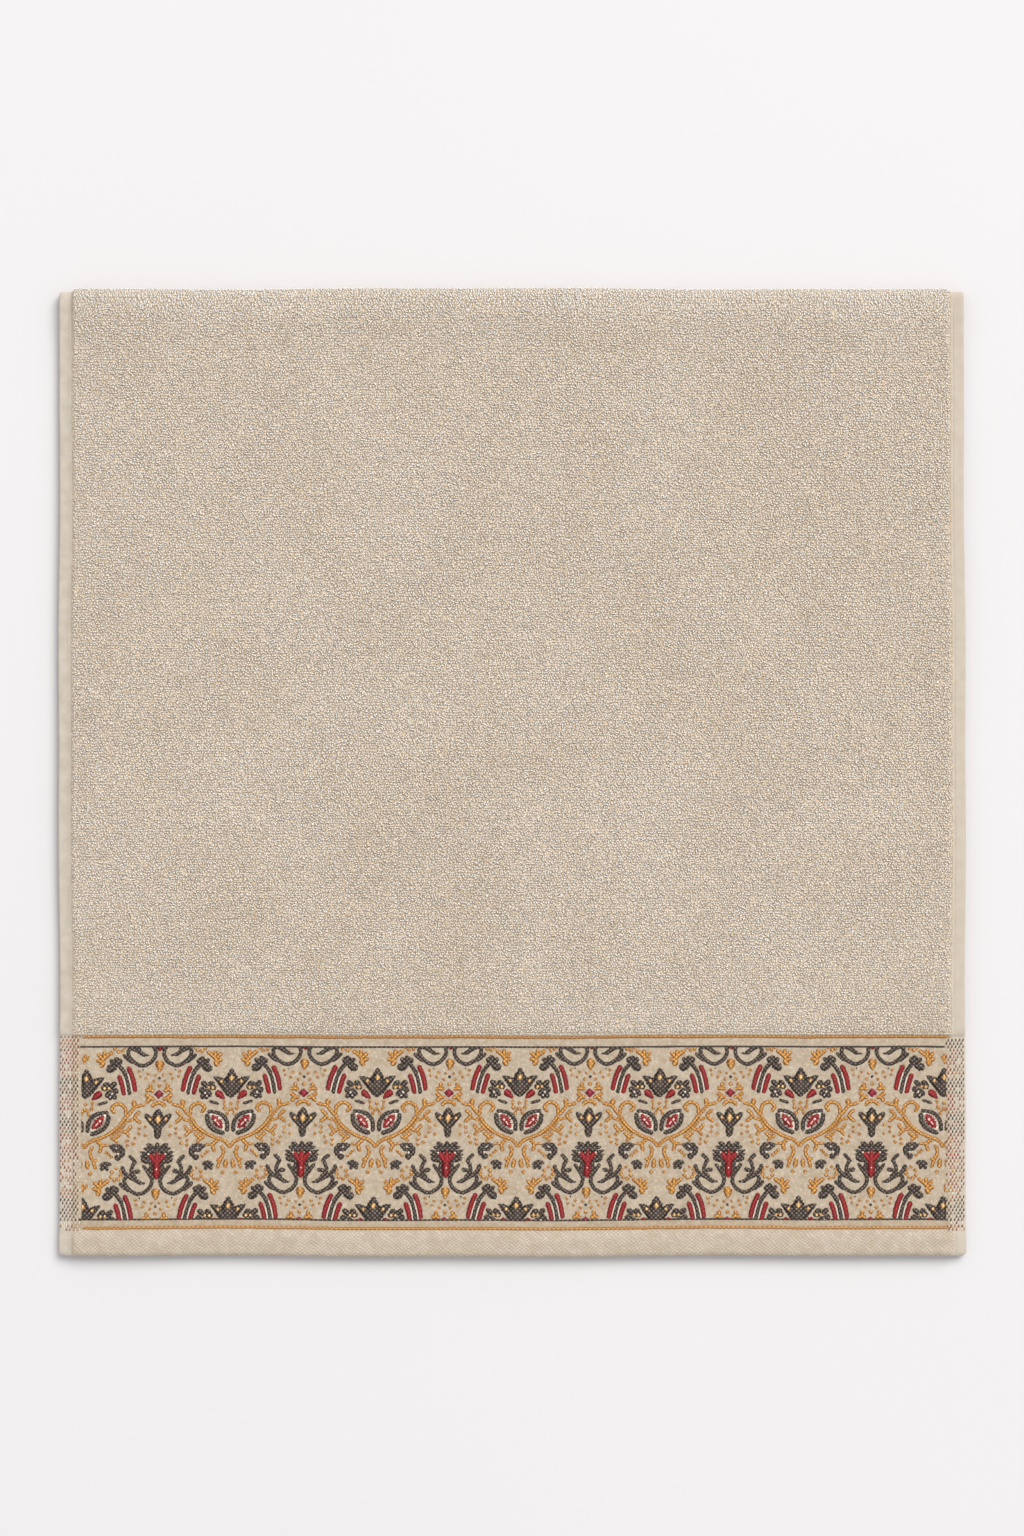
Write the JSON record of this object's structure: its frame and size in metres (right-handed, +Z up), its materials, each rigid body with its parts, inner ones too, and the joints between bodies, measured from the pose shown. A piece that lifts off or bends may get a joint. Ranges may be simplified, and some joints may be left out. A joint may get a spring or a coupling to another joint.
{
  "type": "folded hair towel",
  "caption": "Terry hair towel folded once across its length, lying flat, with a woven border and hem at the open end and a round fold at the other.",
  "frame": {"origin": "middle of the folded towel's underside, on the surface it lies on", "axes": "+Z up through the layers, +Y along the towel towards its fold, +X across its width; the hems are at -Y"},
  "size_m": [0.5006, 0.5346, 0.0114],
  "materials": {
    "terry": "beige cotton terry with a flat woven border"
  },
  "bodies": {
    "root": {"towel_cloth": "terry"}
  },
  "joints": []
}
